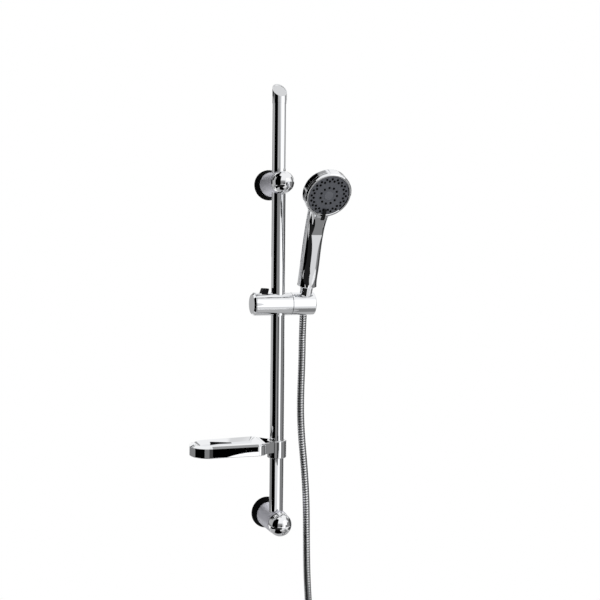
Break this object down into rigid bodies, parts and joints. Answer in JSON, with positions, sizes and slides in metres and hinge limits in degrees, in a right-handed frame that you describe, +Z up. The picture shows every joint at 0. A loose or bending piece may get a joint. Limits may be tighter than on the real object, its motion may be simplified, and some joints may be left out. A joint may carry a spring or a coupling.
{
  "type": "shower rail",
  "caption": "Round chrome shower rail on wall brackets, with a sliding lever-release holder, tilting hand shower, ribbed hose and a clamped soap dish.",
  "frame": {"origin": "on the wall, at the middle of the lower wall plate and its screw hole", "axes": "+X to the right along the wall, -Y out of the wall towards the user, +Z up the rail"},
  "size_m": [0.2693, 0.1899, 1.0925],
  "materials": {
    "rail_chrome": "mirror chrome",
    "cap_chrome": "mirror chrome",
    "plated_plastic": "chrome plating",
    "satin_metal": "satin",
    "plated_brass": "chrome plating",
    "plain_brass": "turned",
    "bare_steel": "plain",
    "black_plastic": "satin",
    "white_plastic": "plain",
    "spray_grey": "satin",
    "black_rubber": "plain",
    "hose_skin": "ribbed, metallic"
  },
  "bodies": {
    "rail": {"rail_tube": "rail_chrome", "top_end_cap": "plated_plastic", "lower_wall_plate": "black_plastic", "upper_wall_plate": "black_plastic", "lower_bracket_post": "satin_metal", "upper_bracket_post": "satin_metal", "lower_dome_cap": "cap_chrome", "upper_dome_cap": "cap_chrome", "bracket_grub_screws": "bare_steel"},
    "slider_carriage": {"slider_glide_rings": "white_plastic"},
    "slider": {"slider_body": "plated_plastic", "slider_end_cap": "plated_plastic", "holder_friction_ring": "white_plastic", "brake_spring": "bare_steel", "hose_tube": "hose_skin", "hose_coil": "hose_skin", "hose_tie": "black_plastic", "hose_end_sleeve": "plated_brass", "hose_end_washer": "black_rubber"},
    "release_lever": {"release_lever": "black_plastic"},
    "brake_shoe": {"brake_shoe": "white_plastic"},
    "holder": {"handset_holder": "plated_plastic", "holder_pivot_screw": "bare_steel", "hose_cone_nut": "plated_brass", "hose_tail": "plain_brass", "hose_washer": "black_rubber", "handset_inlet": "plain_brass", "flow_washer": "black_rubber", "handset_body": "plated_plastic", "spray_plate": "spray_grey", "nozzle_mat": "black_rubber", "centre_disc": "spray_grey", "face_screw": "bare_steel", "diverter_plate": "white_plastic", "head_seal": "black_rubber"},
    "mode_ring": {"mode_ring": "plated_plastic"},
    "dish_carriage": {"dish_clamp_liner": "white_plastic"},
    "soap_dish": {"soap_dish": "plated_plastic", "dish_clamp_screw": "bare_steel"},
    "hose_end_nut": {"hose_end_nut": "plated_brass"}
  },
  "joints": [
    {"name": "slider_slide", "type": "slide", "parent": "rail", "child": "slider_carriage", "axis": [0, 0, 1], "range_m": [-0.145, 0.165]},
    {"name": "slider_swivel", "type": "hinge", "parent": "slider_carriage", "child": "slider", "pos_m": [0, -0.059, 0.3855], "axis": [0, 0, 1], "range_deg": [-35, 40]},
    {"name": "lever_press", "type": "hinge", "parent": "slider", "child": "release_lever", "pos_m": [-0.028, -0.059, 0.3735], "axis": [0, -1, 0], "range_deg": [0, 7], "stiffness_Nm_per_rad": 1.5, "springref_deg": -11.46},
    {"name": "shoe_draw", "type": "slide", "parent": "slider", "child": "brake_shoe", "axis": [1, 0, 0], "range_m": [-0.0016, 0], "deforming": ["brake_spring"]},
    {"name": "holder_tilt", "type": "hinge", "parent": "slider", "child": "holder", "pos_m": [0, -0.059, 0.3855], "axis": [1, 0, 0], "range_deg": [-10, 35]},
    {"name": "mode_ring_turn", "type": "hinge", "parent": "holder", "child": "mode_ring", "pos_m": [0.05215, -0.16863, 0.573], "axis": [0.034, -0.8512, -0.5238], "range_deg": [-40, 40]},
    {"name": "dish_slide", "type": "slide", "parent": "rail", "child": "dish_carriage", "axis": [0, 0, 1], "range_m": [-0.08, 0.07]},
    {"name": "dish_swivel", "type": "hinge", "parent": "dish_carriage", "child": "soap_dish", "pos_m": [0, -0.059, 0.1287], "axis": [0, 0, 1], "range_deg": [-3, 90]},
    {"name": "hose_nut_spin", "type": "hinge", "parent": "slider", "child": "hose_end_nut", "pos_m": [0.1, -0.04107, -0.305], "axis": [0, 0, 1], "continuous": true}
  ],
  "couplings": [
    {"joint": "shoe_draw", "follows": "lever_press", "m_per_rad": -0.012}
  ]
}
